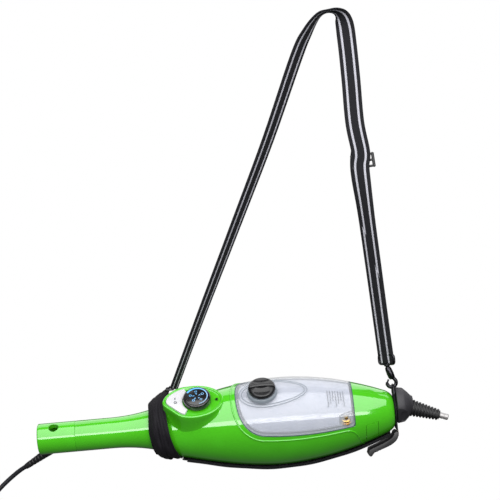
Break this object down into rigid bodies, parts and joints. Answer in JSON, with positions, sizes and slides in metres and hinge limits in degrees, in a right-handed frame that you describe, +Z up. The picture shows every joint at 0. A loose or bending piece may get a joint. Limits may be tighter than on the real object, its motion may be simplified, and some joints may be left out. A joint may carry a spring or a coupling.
{
  "type": "hand-held steam mop unit",
  "caption": "Spindle-shaped hand-held steam unit with clear tank, steam dial, rear outlet connector and mains cord, hanging from a webbing shoulder strap.",
  "frame": {"origin": "underside of the top of the shoulder strap, where the unit hangs", "axes": "+Z up, +X towards the steam outlet, so the handle points to -X; the dial and tank lean towards -Y"},
  "size_m": [0.7097, 0.1216, 0.8827],
  "materials": {
    "green_shell": "glossy bright green ABS",
    "black_plastic": "satin black moulded plastic",
    "dial_black": "gloss black",
    "dial_print": "black disc with light blue graduations",
    "white_plastic": "white satin plastic",
    "clear_tank": "clear moulded plastic",
    "seal_rubber": "dark grey seal",
    "red_seal": "silicone",
    "brass": "turned brass",
    "copper": "copper tube",
    "steel": "nickel plated steel",
    "outlet_metal": "dull grey tube",
    "heater_metal": "die cast aluminium",
    "webbing": "black woven webbing with two silver grey stripes",
    "belt_fabric": "black nylon fabric",
    "tag_fabric": "beige woven tag, blank",
    "cord_rubber": "black PVC sheath",
    "board_green": "solder mask",
    "hose_clear": "silicone hose",
    "pump_plastic": "moulded plastic"
  },
  "bodies": {
    "casing": {"lower_shell": "green_shell", "upper_shell": "green_shell", "upper_deck": "green_shell", "rear_cap": "green_shell", "handle_tube": "green_shell", "handle_collar": "green_shell", "pole_sleeve": "black_plastic", "water_tank": "clear_tank", "tank_gasket": "seal_rubber", "pickup_fitting": "brass", "suction_hose": "hose_clear", "pump": "pump_plastic", "pump_tube": "hose_clear", "boiler": "heater_metal", "thermostat": "white_plastic", "thermal_fuse": "white_plastic", "steam_pipe": "copper", "outlet_socket": "black_plastic", "circuit_board": "board_green", "dial_control": "black_plastic", "switch_module": "white_plastic", "terminal_block": "white_plastic", "wire_loom": "copper", "cord_clamp": "black_plastic", "shell_screws": "steel", "switch_pin": "steel", "pointer_mark": "dial_black", "release_spring_left": "steel", "release_spring_right": "steel", "neck_belt": "belt_fabric", "belt_loop": "black_plastic", "under_strap": "webbing", "end_loop": "webbing", "harness_buckle": "black_plastic", "size_tag": "tag_fabric", "d_ring": "steel", "snap_hook": "steel", "hook_eye": "steel", "shoulder_strap": "webbing", "strap_slider": "black_plastic", "cord_boot": "cord_rubber", "power_cord": "cord_rubber", "cord_coil": "cord_rubber", "coil_tie": "belt_fabric", "mains_plug": "cord_rubber"},
    "dial": {"steam_dial": "dial_black", "dial_face": "dial_print", "dial_shaft": "steel"},
    "rocker": {"power_switch": "white_plastic"},
    "cap_seal": {"cap_gasket": "hose_clear"},
    "cap": {"cap_knob": "dial_black", "cap_insert": "black_plastic"},
    "left_catch": {"release_button_left": "green_shell"},
    "right_catch": {"release_button_right": "green_shell"},
    "connector": {"connector_body": "black_plastic", "connector_seal": "red_seal", "ribbed_boot": "cord_rubber", "outlet_tube": "outlet_metal"},
    "gate": {"hook_gate": "steel"}
  },
  "joints": [
    {"name": "steam_dial_turn", "type": "hinge", "parent": "casing", "child": "dial", "pos_m": [-0.16925, -0.03214, -0.50783], "axis": [-0.0681, -0.6428, 0.763], "range_deg": [-120, 120]},
    {"name": "power_rocker", "type": "hinge", "parent": "casing", "child": "rocker", "pos_m": [-0.1966, -0.027, -0.51642], "axis": [0.996, 0, 0.0889], "range_deg": [0, 5]},
    {"name": "cap_lift", "type": "slide", "parent": "casing", "child": "cap_seal", "axis": [-0.0681, -0.6428, 0.763], "range_m": [0, 0.03]},
    {"name": "cap_turn", "type": "hinge", "parent": "cap_seal", "child": "cap", "pos_m": [-0.08503, -0.03632, -0.49531], "axis": [-0.0681, -0.6428, 0.763], "range_deg": [-90, 0]},
    {"name": "left_release", "type": "slide", "parent": "casing", "child": "left_catch", "axis": [-0.0571, 0.766, 0.6402], "range_m": [0, 0.0025], "stiffness_N_per_m": 1500, "springref_m": -0.001},
    {"name": "right_release", "type": "slide", "parent": "casing", "child": "right_catch", "axis": [0.0571, -0.766, -0.6402], "range_m": [0, 0.0025], "stiffness_N_per_m": 1500, "springref_m": -0.001},
    {"name": "connector_pull", "type": "slide", "parent": "casing", "child": "connector", "axis": [0.996, 0, 0.0889], "range_m": [0, 0.036]},
    {"name": "hook_gate_open", "type": "hinge", "parent": "casing", "child": "gate", "pos_m": [0.08115, 0.002, -0.4911], "axis": [0, 1, 0], "range_deg": [0, 30], "stiffness_Nm_per_rad": 0.02, "springref_deg": -17.19}
  ]
}
